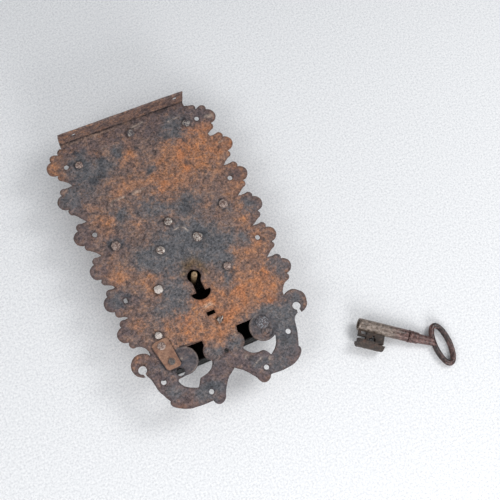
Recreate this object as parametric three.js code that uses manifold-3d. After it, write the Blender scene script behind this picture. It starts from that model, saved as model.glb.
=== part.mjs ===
// Wrought-iron chest lock with its pipe key, in millimetres.
// The lock lies on its rear cover. X runs across the plate, +Y towards the flange that laps the chest's front
// board, and +Z out of the plate's front. The origin is on the drill pin's axis, at the cover's outer face.
import * as THREE from "three";
import { mergeVertices } from "three/addons/utils/BufferGeometryUtils.js";
import Module from "manifold-3d";

const wasm = await Module();
wasm.setup();

// ---------------------------------------------------------------- driving dimensions
const GAP = 0.3; // clearance between pieces that are cut by, or stand on, one another
const COVER_T = 2;
const CASE_DEPTH = 41; // outer face of the cover to the back of the plate
const PLATE_T = 2.2;
const PLATE_FRONT = CASE_DEPTH + PLATE_T;
const WALL_BOTTOM = COVER_T + GAP;
const WALL_TOP = CASE_DEPTH - GAP;
const WALL_T = 1.8;
const CASE_HALF = 72;
const CASE_LOW = -84.5;
const CASE_HIGH = 186;

const FLANGE_LEFT = -76.5;
const FLANGE_RIGHT = 68.5;
const FLANGE_Y = 194.6; // outer face of the flange
const FLANGE_RISE = 23; // above the plate's front
const BEND_R = 1.2; // inside the flange's bend
const PLATE_SHOULDER = 187.6;

const NAIL_HOLE_R = 2.7;
const RIVET_HOLE_R = 2.5;
const RIVET_SHANK_R = 2.2;

const BOLT_THROW = 16;
const BOLT_BACK = 36.5;
const BOLT_T = 4;
const ARM_BACK = 32.2;
const TUMBLER_BACK = 27;
const TUMBLER_T = 4;

const PIN_R = 3.3;
const PIN_TAIL_R = 3;
const PIN_START = 1.2; // its tail sits in a blind hole in the cover
const PIN_PROUD = 8; // the drill pin stands this far out of the plate
const PIPE_R = 6.9;
const BIT_REACH = 25; // from the pin's axis to the end of the bit

// The key lies on its collar and its bow, so its mouth is raised.
const KEY_AT = new THREE.Vector3(149.8, -113, 11.8);
const KEY_HEADING = -35.8; // degrees from +X, from the pipe's mouth to the bow
const KEY_DROOP = 4.2;

// ---------------------------------------------------------------- helpers
const radians = (degrees) => (degrees * Math.PI) / 180;
const mirrored = (points) => points.map(([x, y]) => [-x, y]).reverse();

function arc(x, y, radius, from, to, steps) {
  const points = [];
  for (let i = 0; i <= steps; i += 1) {
    const angle = radians(from + ((to - from) * i) / steps);
    points.push([x + radius * Math.cos(angle), y + radius * Math.sin(angle)]);
  }
  return points;
}

function smooth(points, steps) {
  const curve = new THREE.SplineCurve(points.map(([x, y]) => new THREE.Vector2(x, y)));
  return curve.getPoints(steps).map((point) => [point.x, point.y]);
}

const outline = (points) => new THREE.Shape(points.map(([x, y]) => new THREE.Vector2(x, y)));

function slab(points, low, high) {
  const geometry = new THREE.ExtrudeGeometry(outline(points), { depth: high - low, bevelEnabled: false });
  return geometry.translate(0, 0, low);
}

// A section in Y and Z, drawn out along X.
function acrossX(points, start, end) {
  const geometry = new THREE.ExtrudeGeometry(outline(points), { depth: end - start, bevelEnabled: false });
  return geometry.rotateX(Math.PI / 2).rotateZ(Math.PI / 2).translate(start, 0, 0);
}

const box = (x0, x1, y0, y1, z0, z1) =>
  new THREE.BoxGeometry(x1 - x0, y1 - y0, z1 - z0).translate((x0 + x1) / 2, (y0 + y1) / 2, (z0 + z1) / 2);

const circle = (x, y, radius, sides) => arc(x, y, radius, 0, 360 - 360 / sides, sides - 1);
const rod = (x, y, radius, low, high, sides = 16) => slab(circle(x, y, radius, sides), low, high);

// A turned piece standing on Z at (x, y); its profile lists [radius, height] from bottom to top.
function turned(x, y, profile, sides = 16) {
  const points = profile.map(([radius, height]) => new THREE.Vector2(radius, height));
  return new THREE.LatheGeometry(points, sides).rotateX(Math.PI / 2).translate(x, y, 0);
}

function solid(geometry) {
  const bare = geometry.clone();
  bare.deleteAttribute("normal");
  bare.deleteAttribute("uv");
  const merged = mergeVertices(bare, 1e-4);
  return new wasm.Manifold(
    new wasm.Mesh({
      numProp: 3,
      vertProperties: new Float32Array(merged.attributes.position.array),
      triVerts: new Uint32Array(merged.index.array),
    }),
  );
}

const joined = (...geometries) => geometries.map(solid).reduce((a, b) => a.add(b));
const cut = (body, ...geometries) => geometries.map(solid).reduce((a, b) => a.subtract(b), body);

function geometryOf(body) {
  const mesh = body.getMesh();
  const geometry = new THREE.BufferGeometry();
  geometry.setAttribute("position", new THREE.BufferAttribute(mesh.vertProperties, 3));
  geometry.setIndex(new THREE.BufferAttribute(mesh.triVerts, 1));
  geometry.computeVertexNormals();
  return geometry;
}

const IRON = { rust: 0x7b5540, dark: 0x55483f, worn: 0x9a9184, pin: 0xa08a6a, key: 0x6a5145 };

const lock = new THREE.Group();
const key = new THREE.Group();
lock.add(key);

function piece(name, shape, finish, parent = lock) {
  const geometry = shape.isBufferGeometry ? shape : geometryOf(shape);
  const material = new THREE.MeshStandardMaterial({ color: IRON[finish], roughness: 0.7, metalness: 0.6 });
  const mesh = new THREE.Mesh(geometry, material);
  mesh.name = name;
  parent.add(mesh);
}

// ---------------------------------------------------------------- face plate
const LOBE_R = 8.8;
const SIDE_LOBE_BACK = 2.7; // the small lobes stand this far behind the big one
const SIDE_LOBE_R = 4.6;
const UPPER_LOBE_RISE = 11;
const LOWER_LOBE_DROP = 12;
const VALLEY_RISE = 15.4; // from a leaf's middle up to the valley above it
const VALLEY_X = 81;

// Both sides were cut by hand to one pattern, and they differ by a few millimetres. X is measured outwards on
// each side. A leaf is the middle of its big lobe, [x, y], and the neck runs down to where the scroll parts
// from the leaves.
const RIGHT_SIDE = {
  flangeEnd: FLANGE_RIGHT,
  leaves: [[88.2, 166], [92.6, 128], [93.6, 89.2], [94, 50.4], [93.6, 12.6], [93.2, -26.4]],
  neck: [[86.6, -44.4], [84, -47.2], [80.4, -52.6]],
  lobe: { x: 87.6, y: -66.9, r: 13.5, from: 124 },
  eye: { x: 87.5, y: -72, r: 4.2 },
  band: [[85.6, -79.2], [80.8, -82.4], [78.6, -88], [76.8, -96.4], [74, -104.6], [71, -111.8]],
  base: [[72.4, -114.2], [71.3, -118.2], [67.2, -122.6], [60, -126.4], [48.6, -128.2], [32.4, -127.2]],
  cusp: { x: 24.8, y: -125, r: 7.3 },
  parting: [[16.4, -123.5], [9, -113.6], [0, -105.6]],
};
const LEFT_SIDE = {
  flangeEnd: -FLANGE_LEFT,
  leaves: [[91, 168.8], [94, 128.2], [92.6, 84.2], [90.4, 43], [90, 5.4], [89.2, -30]],
  neck: [[84.2, -46.2], [79.6, -48], [75.6, -52.4], [72.6, -59.6]],
  lobe: { x: 85, y: -66.4, r: 12.2, from: 146 },
  eye: { x: 87.2, y: -70.9, r: 4.3 },
  band: [[85.4, -78], [83, -82.6], [81.8, -88], [80.2, -96], [76.9, -105], [73.2, -111]],
  base: [[74.4, -113.6], [72.8, -117.4], [67.2, -121.6], [59, -125.2], [48, -127.4], [33.2, -127.8]],
  cusp: { x: 26.6, y: -126.6, r: 7 },
  parting: [[18.6, -125.4], [11.4, -114.6], [0, -105.6]],
};

// One leaf down its edge: a small lobe, a big lobe and a small lobe, parted by nicks.
function leaf([x, y]) {
  return [
    ...arc(x - SIDE_LOBE_BACK, y + UPPER_LOBE_RISE, SIDE_LOBE_R, 118, -40, 5),
    ...arc(x, y, LOBE_R, 84, -84, 10),
    ...arc(x - SIDE_LOBE_BACK - 0.6, y - LOWER_LOBE_DROP, SIDE_LOBE_R, 42, -84, 4),
  ];
}

// The little lobe between the flange and the first leaf.
const shoulder = ([x, y]) => arc(x - 13, y + 15.4, SIDE_LOBE_R, 90, -30, 4);

// Down one side of the plate's edge, from the flange to the point between the scrolls.
function edge({ flangeEnd, leaves, neck, lobe, eye, band, base, cusp, parting }) {
  const points = [[flangeEnd, 191], [flangeEnd, PLATE_SHOULDER], ...shoulder(leaves[0])];
  leaves.forEach((place, i) => {
    if (i > 0) {
      const [x, y] = leaves[i - 1];
      const valley = place[1] + VALLEY_RISE;
      const lobeEnd = y - LOWER_LOBE_DROP - SIDE_LOBE_R;
      points.push([x - 8, (valley + lobeEnd) / 2], [VALLEY_X, valley], [VALLEY_X + 3.6, valley - 0.4]);
    }
    points.push(...leaf(place));
  });
  points.push(
    ...smooth(neck, 5),
    ...arc(lobe.x, lobe.y, lobe.r, lobe.from, -80, 16),
    ...arc(eye.x, eye.y, eye.r, -70, 250, 14),
    ...smooth(band, 10),
    ...smooth(base, 12),
    ...arc(cusp.x, cusp.y, cusp.r, -25, -160, 8),
    ...smooth(parting, 4),
  );
  return points;
}

const DISC = { x: 45, y: -78.5, r: 15 };
const BOSS_Y = -80.5; // the round middle of the plate between the windows
const BOSS_R = 10.7;
const WINDOW_TOP = -66;

// The openings between the middle, the curled discs and the scrolls' bands.
const RIGHT_WINDOW = [
  [19.5, WINDOW_TOP],
  ...arc(DISC.x, DISC.y, DISC.r, 123.5, 304, 14),
  ...smooth([[53.2, -92.6], [51.2, -98], [47, -103.8], [40.8, -108.4]], 6),
  ...smooth([[37.8, -103.2], [34.8, -100.8], [27.6, -100.4], [21.2, -97.4], [16.6, -91.6]], 8),
  ...arc(10.9, BOSS_Y, BOSS_R, -54, 46, 8),
];
const LEFT_WINDOW = [
  [19.8, WINDOW_TOP - 1],
  ...arc(DISC.x, DISC.y, DISC.r, 124, 282, 12),
  ...smooth([[51.8, -93.6], [58, -94.4], [55.6, -101.6], [49.6, -106.4], [41.8, -109.5]], 10),
  ...smooth([[38.2, -104], [36, -101.6], [28.4, -99.9], [22, -96.4], [18.8, -91.6]], 8),
  ...arc(13, BOSS_Y, BOSS_R, -56, 46, 8),
];

const KEYHOLE_R = 7.3;
const KEYHOLE_SLOT = 5.1;
const KEYHOLE = [
  ...arc(0, 0, KEYHOLE_R, -45, 225, 14),
  [-KEYHOLE_SLOT, -17.6],
  [-11, -17.8],
  ...arc(0, -15, 11.7, 205, 335, 8),
  [11, -17.8],
  [KEYHOLE_SLOT, -17.6],
];

const SMALL_SLOT = [[-3.8, -45.2], [5.3, -45.2], [5.3, -41], [-3.8, -41]];

const NAIL_HOLES = [
  [75.6, 168], [81.2, 88.2], [81, 13.6], [67.6, -93.4], [30.4, -118.6],
  [-79.2, 166], [-79, 82.6], [-75.4, 3.2], [-72.4, -90.6], [-31.6, -118.8],
];
const FLANGE_HOLES = [-59.5, 59];
const FLANGE_HOLE_RISE = 13;

// Everything that ends in a rivet on the plate's front, by the piece it belongs to.
const POST_UPPER_LEFT = [-65.7, 163];
const POST_UPPER_RIGHT = [62.6, 167.2];
const POST_LOWER_LEFT = [-59, -44.2];
const POST_LOWER_MID = [7, -53.5];
const RIM_RIVET_RIGHT = [62, 62.8];
const TOP_WALL_RIVET = [0.2, 178.4];
const TUMBLER_PIVOT = [-63, 62.6];
const SPRING_POST = [-1.6, 66.8];
const GUIDE_STUD_LEFT = [-21.6, 39.8];
const GUIDE_STUD_RIGHT = [21, 38.8];
const BRIDGE_RIVET_LEFT = [-40.2, 0.6];
const BRIDGE_RIVET_RIGHT = [37.2, -3.2];
const RIVET_PLACES = [
  POST_UPPER_LEFT,
  POST_UPPER_RIGHT,
  POST_LOWER_LEFT,
  POST_LOWER_MID,
  RIM_RIVET_RIGHT,
  TOP_WALL_RIVET,
  TUMBLER_PIVOT,
  SPRING_POST,
  GUIDE_STUD_LEFT,
  GUIDE_STUD_RIGHT,
  BRIDGE_RIVET_LEFT,
  BRIDGE_RIVET_RIGHT,
];
const STRAP_RIVETS = [[-60.5, -56], [-57, -74.5]];
const BOSS_RIVET = [46, -74];
const DISC_HOLE = [-52.5, -87.5, 4.4]; // x, y, radius
const CENTRE_HOLE = [-0.5, -86, 2.3];

function flangeGeometry() {
  const inner = FLANGE_Y - PLATE_T;
  const top = PLATE_FRONT + FLANGE_RISE;
  const root = inner - BEND_R - 2.6;
  const outerBend = BEND_R + PLATE_T;
  const profile = [
    [root, CASE_DEPTH],
    ...arc(FLANGE_Y - outerBend, CASE_DEPTH + outerBend, outerBend, -90, 0, 5),
    [FLANGE_Y, top],
    [inner, top],
    ...arc(inner - BEND_R, PLATE_FRONT + BEND_R, BEND_R, 0, -90, 3),
    [root, PLATE_FRONT],
  ];
  return acrossX(profile, FLANGE_LEFT, FLANGE_RIGHT);
}

function flangeHole(x) {
  const hole = new THREE.CylinderGeometry(NAIL_HOLE_R, NAIL_HOLE_R, 12, 12);
  return hole.translate(x, FLANGE_Y - PLATE_T / 2, PLATE_FRONT + FLANGE_HOLE_RISE);
}

function plate() {
  const low = CASE_DEPTH - 1;
  const high = PLATE_FRONT + 1;
  const sheet = slab([...edge(RIGHT_SIDE), ...mirrored(edge(LEFT_SIDE))], CASE_DEPTH, PLATE_FRONT);
  const rivets = [...RIVET_PLACES, ...STRAP_RIVETS, BOSS_RIVET];
  return cut(
    joined(sheet, flangeGeometry()),
    ...NAIL_HOLES.map(([x, y]) => rod(x, y, NAIL_HOLE_R, low, high, 12)),
    ...rivets.map(([x, y]) => rod(x, y, RIVET_HOLE_R, low, high, 10)),
    ...FLANGE_HOLES.map(flangeHole),
    slab(RIGHT_WINDOW, low, high),
    slab(mirrored(LEFT_WINDOW), low, high),
    slab(KEYHOLE, low, high),
    slab(SMALL_SLOT, low, high),
    rod(...DISC_HOLE, low, high, 14),
    rod(...CENTRE_HOLE, low, high, 12),
  );
}
piece("lock_plate", plate(), "rust");

// ---------------------------------------------------------------- rivet ends and what stands behind them
// A peened head on the front, low and full.
const head = (radius, height, base = PLATE_FRONT) => [
  [RIVET_SHANK_R, base + 0.05],
  [radius, base + 0.05],
  [radius * 0.95, base + height * 0.55],
  [radius * 0.62, base + height * 0.9],
  [0, base + height],
];

// A stud through the plate: its inner end is a collar or a plain tail.
function stud(name, [x, y], headRadius, inner) {
  piece(name, turned(x, y, [...inner, ...head(headRadius, 1.9)]), "worn");
}

const tail = (bottom) => [[0, bottom], [RIVET_SHANK_R, bottom]];
const collar = (bottom, radius, thickness) => [
  [0, bottom],
  [radius, bottom],
  [radius, bottom + thickness],
  [RIVET_SHANK_R, bottom + thickness],
];

const POST_R = 3.8;
const SCREW_HOLE_R = 1.8;
const SCREW_TOP = 11;

function coverPost(name, place, headRadius) {
  const foot = [
    [0, SCREW_TOP + 1],
    [SCREW_HOLE_R, SCREW_TOP + 1],
    [SCREW_HOLE_R, WALL_BOTTOM],
    [POST_R, WALL_BOTTOM],
    [POST_R, WALL_TOP],
    [RIVET_SHANK_R, WALL_TOP],
  ];
  stud(name, place, headRadius, foot);
}
coverPost("cover_post_upper_left", POST_UPPER_LEFT, 4.8);
coverPost("cover_post_upper_right", POST_UPPER_RIGHT, 5.2);
coverPost("cover_post_lower_left", POST_LOWER_LEFT, 4.6);

// The fourth post's end was hammered down over a square tenon and shows three corners.
function cornerPost() {
  const [x, y] = POST_LOWER_MID;
  const cornered = [[x - 4.6, y + 3.4], [x - 3.2, y - 4.6], [x - 0.4, y - 4.2], [x + 5, y + 2.6]];
  const post = joined(
    turned(x, y, [[0, WALL_BOTTOM], [POST_R, WALL_BOTTOM], [POST_R, WALL_TOP], [0, WALL_TOP]]),
    rod(x, y, RIVET_SHANK_R, WALL_TOP - 1, PLATE_FRONT + 1, 12),
    slab(cornered, PLATE_FRONT + 0.05, PLATE_FRONT + 1.5),
  );
  return cut(post, rod(x, y, SCREW_HOLE_R, 0, SCREW_TOP + 1, 12));
}
piece("cover_post_lower_mid", cornerPost(), "worn");

const FOOT_T = 1.8;
const FOOT_LOW = WALL_TOP - FOOT_T;

stud("rim_rivet_right", RIM_RIVET_RIGHT, 5.7, tail(FOOT_LOW - 0.6));
stud("top_wall_rivet", TOP_WALL_RIVET, 5, tail(FOOT_LOW - 0.6));
stud("tumbler_pivot", TUMBLER_PIVOT, 5.8, collar(TUMBLER_BACK - 2, 4, 2 - GAP));
stud("spring_post", SPRING_POST, 5, tail(TUMBLER_BACK - 0.5));
stud("guide_stud_left", GUIDE_STUD_LEFT, 5.6, collar(BOLT_BACK - 3, 5, 3 - GAP));
stud("guide_stud_right", GUIDE_STUD_RIGHT, 5.8, collar(BOLT_BACK - 3, 5, 3 - GAP));
stud("bridge_rivet_left", BRIDGE_RIVET_LEFT, 5.4, tail(FOOT_LOW - 0.6));
stud("bridge_rivet_right", BRIDGE_RIVET_RIGHT, 5, tail(FOOT_LOW - 0.6));

const STRAP_T = 1.8;
const STRAP_BACK = PLATE_FRONT + 0.1;
const STRAP_FRONT = STRAP_BACK + STRAP_T;

const STRAP = [
  [-63, -49.3],
  [-68.4, -50.6],
  [-70, -52.6],
  [-64.4, -80],
  [-62.4, -82],
  [-50.6, -82],
  [-48.6, -79.8],
  [-51.4, -50.6],
  [-53, -49],
];

function strap() {
  const holes = STRAP_RIVETS.map(([x, y]) => rod(x, y, RIVET_HOLE_R, STRAP_BACK - 1, STRAP_FRONT + 1, 10));
  return cut(solid(slab(STRAP, STRAP_BACK, STRAP_FRONT)), ...holes);
}
piece("repair_strap", strap(), "rust");

const STRAP_RIVET_HEADS = [4.5, 3.9];
STRAP_RIVETS.forEach(([x, y], i) => {
  const profile = [...tail(CASE_DEPTH - 0.8), ...head(STRAP_RIVET_HEADS[i], 1.3, STRAP_FRONT)];
  piece(`strap_rivet_${i + 1}`, turned(x, y, profile), "dark");
});
piece("disc_boss", turned(...BOSS_RIVET, [...tail(CASE_DEPTH - 0.8), ...head(7, 2.8)], 20), "worn");

// ---------------------------------------------------------------- case
const INNER = CASE_HALF - WALL_T;
const TOP_INNER = CASE_HIGH - WALL_T;
const RIM_END = TOP_INNER - GAP;
const STAPLE_SLOTS = [-33, 53];
const SLOT_HALF = 4.2;
const SLOT_BACK = 22;
const SLOT_FRONT = 39.5;

const foot = (x0, x1, y0, y1) => box(x0, x1, y0, y1, FOOT_LOW, WALL_TOP);
const footHole = ([x, y]) => rod(x, y, RIVET_HOLE_R, FOOT_LOW - 1, WALL_TOP + 1, 10);

function caseRim() {
  const bent = slab(
    [
      [-CASE_HALF, RIM_END],
      ...arc(-CASE_HALF + 3, CASE_LOW + 3, 3, 180, 270, 4),
      ...arc(CASE_HALF - 3, CASE_LOW + 3, 3, -90, 0, 4),
      [CASE_HALF, RIM_END],
      [INNER, RIM_END],
      ...arc(INNER - 1.2, CASE_LOW + WALL_T + 1.2, 1.2, 0, -90, 3),
      ...arc(-INNER + 1.2, CASE_LOW + WALL_T + 1.2, 1.2, 270, 180, 3),
      [-INNER, RIM_END],
    ],
    WALL_BOTTOM,
    WALL_TOP,
  );
  const feet = [foot(-INNER - 1, -57, 58, 72), foot(56, INNER + 1, 57, 71)];
  return cut(joined(bent, ...feet), footHole(TUMBLER_PIVOT), footHole(RIM_RIVET_RIGHT));
}
piece("case_rim", caseRim(), "dark");

function topWall() {
  const wall = joined(
    box(-CASE_HALF, CASE_HALF, TOP_INNER, CASE_HIGH, WALL_BOTTOM, WALL_TOP),
    foot(-8, 9, 174, TOP_INNER + 1),
  );
  const slots = STAPLE_SLOTS.map((x) =>
    box(x - SLOT_HALF, x + SLOT_HALF, TOP_INNER - 1, CASE_HIGH + 1, SLOT_BACK, SLOT_FRONT),
  );
  return cut(wall, ...slots, footHole(TOP_WALL_RIVET));
}
piece("case_top_wall", topWall(), "dark");

const POSTS = [POST_UPPER_LEFT, POST_UPPER_RIGHT, POST_LOWER_LEFT, POST_LOWER_MID];
const SCREW_HEAD_R = 3.6;
const COVER_CORNER = 4;

function rearCover() {
  const corners = [
    ...arc(CASE_HALF - COVER_CORNER, CASE_HIGH - COVER_CORNER, COVER_CORNER, 0, 90, 4),
    ...arc(-CASE_HALF + COVER_CORNER, CASE_HIGH - COVER_CORNER, COVER_CORNER, 90, 180, 4),
    ...arc(-CASE_HALF + COVER_CORNER, CASE_LOW + COVER_CORNER, COVER_CORNER, 180, 270, 4),
    ...arc(CASE_HALF - COVER_CORNER, CASE_LOW + COVER_CORNER, COVER_CORNER, 270, 360, 4),
  ];
  const sink = [
    [0, -0.5],
    [SCREW_HEAD_R + 0.7, -0.5],
    [SCREW_HOLE_R, COVER_T - 0.1],
    [SCREW_HOLE_R, COVER_T + 0.5],
    [0, COVER_T + 0.5],
  ];
  const sinks = POSTS.map(([x, y]) => turned(x, y, sink));
  const pinSocket = rod(0, 0, PIN_TAIL_R + GAP, PIN_START - GAP, COVER_T + 1, 20);
  return cut(solid(slab(corners, 0, COVER_T)), ...sinks, pinSocket);
}
piece("rear_cover", rearCover(), "dark");

POSTS.forEach(([x, y], i) => {
  const shank = SCREW_HOLE_R - GAP;
  const profile = [[0, 0.1], [SCREW_HEAD_R, 0.1], [shank, 2.1], [shank, SCREW_TOP], [0, SCREW_TOP]];
  const driverSlot = box(x - 5, x + 5, y - 0.5, y + 0.5, -0.5, 0.9);
  piece(`cover_screw_${i + 1}`, cut(solid(turned(x, y, profile)), driverSlot), "worn");
});

const PIN_TOP = PLATE_FRONT + PIN_PROUD;
const pinProfile = [
  [0, PIN_START],
  [PIN_TAIL_R, PIN_START],
  [PIN_TAIL_R, WALL_BOTTOM],
  [PIN_R + 3.2, WALL_BOTTOM],
  [PIN_R + 3.2, WALL_BOTTOM + 1.9],
  [PIN_R, WALL_BOTTOM + 2.3],
  [PIN_R, PIN_TOP - 0.9],
  [PIN_R - 0.8, PIN_TOP],
  [0, PIN_TOP + 0.2],
];
piece("drill_pin", turned(0, 0, pinProfile, 20), "pin");

// ---------------------------------------------------------------- wards
const BRIDGE_LOW = 5;
const BRIDGE_T = 2;
const BRIDGE_HALF = 33.5;

function wardBridge() {
  const body = joined(
    box(-BRIDGE_HALF, BRIDGE_HALF, -7, 7, BRIDGE_LOW, BRIDGE_LOW + BRIDGE_T),
    box(-BRIDGE_HALF, -BRIDGE_HALF + 2, -7, 7, BRIDGE_LOW, WALL_TOP),
    box(BRIDGE_HALF - 2, BRIDGE_HALF, -7, 7, BRIDGE_LOW, WALL_TOP),
    foot(-45, -BRIDGE_HALF + 1, -4, 7),
    foot(BRIDGE_HALF - 1, 42, -7, 4),
  );
  const pinHole = rod(0, 0, PIN_R + GAP, BRIDGE_LOW - 1, BRIDGE_LOW + BRIDGE_T + 1, 16);
  return cut(body, pinHole, footHole(BRIDGE_RIVET_LEFT), footHole(BRIDGE_RIVET_RIGHT));
}
piece("ward_bridge", wardBridge(), "dark");

const SIDE_WARD_R = 18;
const SIDE_WARD_TOP = 14;
const FRONT_WARD_R = 13.5;
const FRONT_WARD_BACK = 33;
const WARD_T = 1.2;

const ring = (radius, from, to, steps, low, high) =>
  slab([...arc(0, 0, radius + WARD_T, from, to, steps), ...arc(0, 0, radius, to, from, steps)], low, high);

const sideWardLow = BRIDGE_LOW + BRIDGE_T + 0.1;
piece("ward_left", ring(SIDE_WARD_R, 159, 201, 6, sideWardLow, SIDE_WARD_TOP), "dark");
piece("ward_right", ring(SIDE_WARD_R, -21, 21, 6, sideWardLow, SIDE_WARD_TOP), "dark");
piece("ward_front", ring(FRONT_WARD_R, -50, 230, 22, FRONT_WARD_BACK, WALL_TOP), "dark");

// ---------------------------------------------------------------- bolt
const BOLT_LEFT = -66;
const BOLT_RIGHT = 50;
const BAR_LOW = 28;
const BAR_HIGH = 52;
const ARM_LOW = 30;
const ARM_HIGH = 156;
const ARM_LEFT = -56;
const ARM_RIGHT = 30;
const ARM_W = 10;
const PRONG = 8;
const PRONG_LOW = 140;
const PRONG_HIGH = 151;
const ARM_RIVET_YS = [34, 42];
const GUIDE_HALF = RIVET_SHANK_R + GAP;
const NOTCH_MID = -BOLT_THROW / 2;
const TALON_LOW = 18.5;
const STUMP_NOTCH = { left: -44.9, right: -20.8, floor: 46.2 };
const ARM_RIVET_R = 1.9;

function guideSlot([x, y]) {
  const body = [
    ...arc(x, y, GUIDE_HALF, -90, 90, 5),
    ...arc(x - BOLT_THROW, y, GUIDE_HALF, 90, 270, 5),
  ];
  return slab(body, BOLT_BACK - 1, BOLT_BACK + BOLT_T + 1);
}

const armRivetPlaces = (left) => ARM_RIVET_YS.map((y) => [left + ARM_W / 2, y]);
const armRivetHoles = (left, low, high) =>
  armRivetPlaces(left).map(([x, y]) => rod(x, y, ARM_RIVET_R + 0.2, low, high, 10));

function boltBar() {
  const bar = slab(
    [
      [BOLT_LEFT, BAR_LOW],
      [NOTCH_MID - 15, BAR_LOW],
      [NOTCH_MID - 12, TALON_LOW],
      [NOTCH_MID - 6.5, TALON_LOW],
      [NOTCH_MID - 5, BAR_LOW],
      [NOTCH_MID + 5, BAR_LOW],
      [NOTCH_MID + 6.5, TALON_LOW],
      [NOTCH_MID + 12, TALON_LOW],
      [NOTCH_MID + 15, BAR_LOW],
      [BOLT_RIGHT, BAR_LOW],
      [BOLT_RIGHT, BAR_HIGH - 4],
      [BOLT_RIGHT - 4, BAR_HIGH],
      [STUMP_NOTCH.right, BAR_HIGH],
      [STUMP_NOTCH.right, STUMP_NOTCH.floor],
      [STUMP_NOTCH.left, STUMP_NOTCH.floor],
      [STUMP_NOTCH.left, BAR_HIGH],
      [BOLT_LEFT + 4, BAR_HIGH],
      [BOLT_LEFT, BAR_HIGH - 4],
    ],
    BOLT_BACK,
    BOLT_BACK + BOLT_T,
  );
  return cut(
    solid(bar),
    guideSlot(GUIDE_STUD_LEFT),
    guideSlot(GUIDE_STUD_RIGHT),
    ...armRivetHoles(ARM_LEFT, BOLT_BACK - 1, BOLT_BACK + BOLT_T + 1),
    ...armRivetHoles(ARM_RIGHT, BOLT_BACK - 1, BOLT_BACK + BOLT_T + 1),
  );
}
piece("bolt_bar", boltBar(), "dark");

function boltArm(left) {
  const right = left + ARM_W;
  const arm = slab(
    [
      [left, ARM_LOW],
      [right, ARM_LOW],
      [right, PRONG_LOW],
      [right + PRONG, PRONG_LOW],
      [right + PRONG, PRONG_HIGH - 2],
      [right + PRONG - 3, PRONG_HIGH],
      [right, PRONG_HIGH],
      ...arc(left + 5, ARM_HIGH - 5, 5, 0, 180, 6),
    ],
    ARM_BACK,
    ARM_BACK + BOLT_T,
  );
  return cut(solid(arm), ...armRivetHoles(left, ARM_BACK - 1, ARM_BACK + BOLT_T + 1));
}
[["left", ARM_LEFT], ["right", ARM_RIGHT]].forEach(([side, left]) => {
  piece(`bolt_arm_${side}`, boltArm(left), "dark");
  armRivetPlaces(left).forEach(([x, y], i) => {
    const shank = rod(x, y, ARM_RIVET_R, ARM_BACK - 0.4, BOLT_BACK + BOLT_T, 12);
    piece(`arm_rivet_${side}_${i + 1}`, shank, "worn");
  });
});

// ---------------------------------------------------------------- tumbler and its spring
const STUMP = [-26, 49];

function capsule([x0, y0], [x1, y1], radius) {
  const along = (Math.atan2(y1 - y0, x1 - x0) * 180) / Math.PI;
  const farEnd = arc(x1, y1, radius, along - 90, along + 90, 6);
  const nearEnd = arc(x0, y0, radius, along + 90, along + 270, 6);
  return slab([...farEnd, ...nearEnd], TUMBLER_BACK, TUMBLER_BACK + TUMBLER_T);
}

// The lever steps down to a flat belly that the key's bit lifts.
function tumbler() {
  const [x, y] = TUMBLER_PIVOT;
  const knee = [-24, 46];
  const belly = [-4, 28.5];
  const lever = joined(
    rod(x, y, 5.2, TUMBLER_BACK, TUMBLER_BACK + TUMBLER_T),
    capsule([x, y], knee, 4),
    capsule(knee, belly, 4),
    capsule(belly, [9, 27.5], 4.5),
    rod(...STUMP, 2.2, TUMBLER_BACK + TUMBLER_T - 1, BOLT_BACK + BOLT_T - 0.2, 12),
  );
  return cut(lever, rod(x, y, RIVET_SHANK_R + GAP, TUMBLER_BACK - 1, TUMBLER_BACK + TUMBLER_T + 1, 14));
}
piece("tumbler", tumbler(), "dark");

function tumblerSpring() {
  const [x, y] = SPRING_POST;
  const outer = smooth([[x, y + 3.5], [-14, 71.8], [-26, 68.4], [-35, 59.6]], 10);
  const inner = smooth([[-34.2, 58.6], [-25.2, 67.4], [-14, 70.6], [x - 1.6, y + 3]], 10);
  const low = TUMBLER_BACK + 0.5;
  const high = TUMBLER_BACK + TUMBLER_T - 0.5;
  const leafAndEye = joined(slab([...outer, ...inner], low, high), rod(x, y, 3.9, low, high));
  return cut(leafAndEye, rod(x, y, RIVET_SHANK_R + 0.2, low - 1, high + 1, 14));
}
piece("tumbler_spring", tumblerSpring(), "worn");

// ---------------------------------------------------------------- key
// In the key's own frame the pipe's mouth is at the origin, the shank runs along +X and the bit along -Y.
const PIPE_LENGTH = 63;
const BORE_R = 4.9;
const BORE_DEPTH = 46;
const COLLAR_START = 58;
const COLLAR_BORE_R = 6;
const STEM_START_R = 5.6;
const STEM_R = 5.2;
const STEM_END_R = 4.3;
const BOW_X = 99;
const BOW_HALF_LONG = 8.8;
const BOW_HALF_WIDE = 22.4;
const BOW_ROD_R = 3.3;
const BOW_JOINT = 10; // from the bow's middle to the end of the stem
const BOW_SKEW = 35; // degrees; the old bow is bent out of square

// A turned piece along +X; its profile lists [x, radius].
function shankLathe(profile) {
  const points = profile.map(([x, radius]) => new THREE.Vector2(radius, x));
  return new THREE.LatheGeometry(points, 20).rotateZ(-Math.PI / 2);
}

const pipe = shankLathe([
  [0, BORE_R],
  [0, PIPE_R],
  [36, PIPE_R - 0.1],
  [COLLAR_START - GAP, PIPE_R - 0.3],
  [COLLAR_START - GAP, STEM_START_R],
  [PIPE_LENGTH, STEM_START_R],
  [PIPE_LENGTH, 0],
  [BORE_DEPTH + 2, 0],
  [BORE_DEPTH, BORE_R],
  [0, BORE_R],
]);
piece("key_pipe", solid(pipe), "key", key);

const collarProfile = [
  [0, COLLAR_BORE_R],
  [0, 6.9],
  [1.4, 7.3],
  [3, 6.7],
  [4.8, 7],
  [6.6, 6.5],
  [11, 6.5],
  [12.4, COLLAR_BORE_R],
];
const collarRing = shankLathe([...collarProfile, collarProfile[0]].map(([x, r]) => [COLLAR_START + x, r]));
piece("key_collar", solid(collarRing), "key", key);

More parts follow.
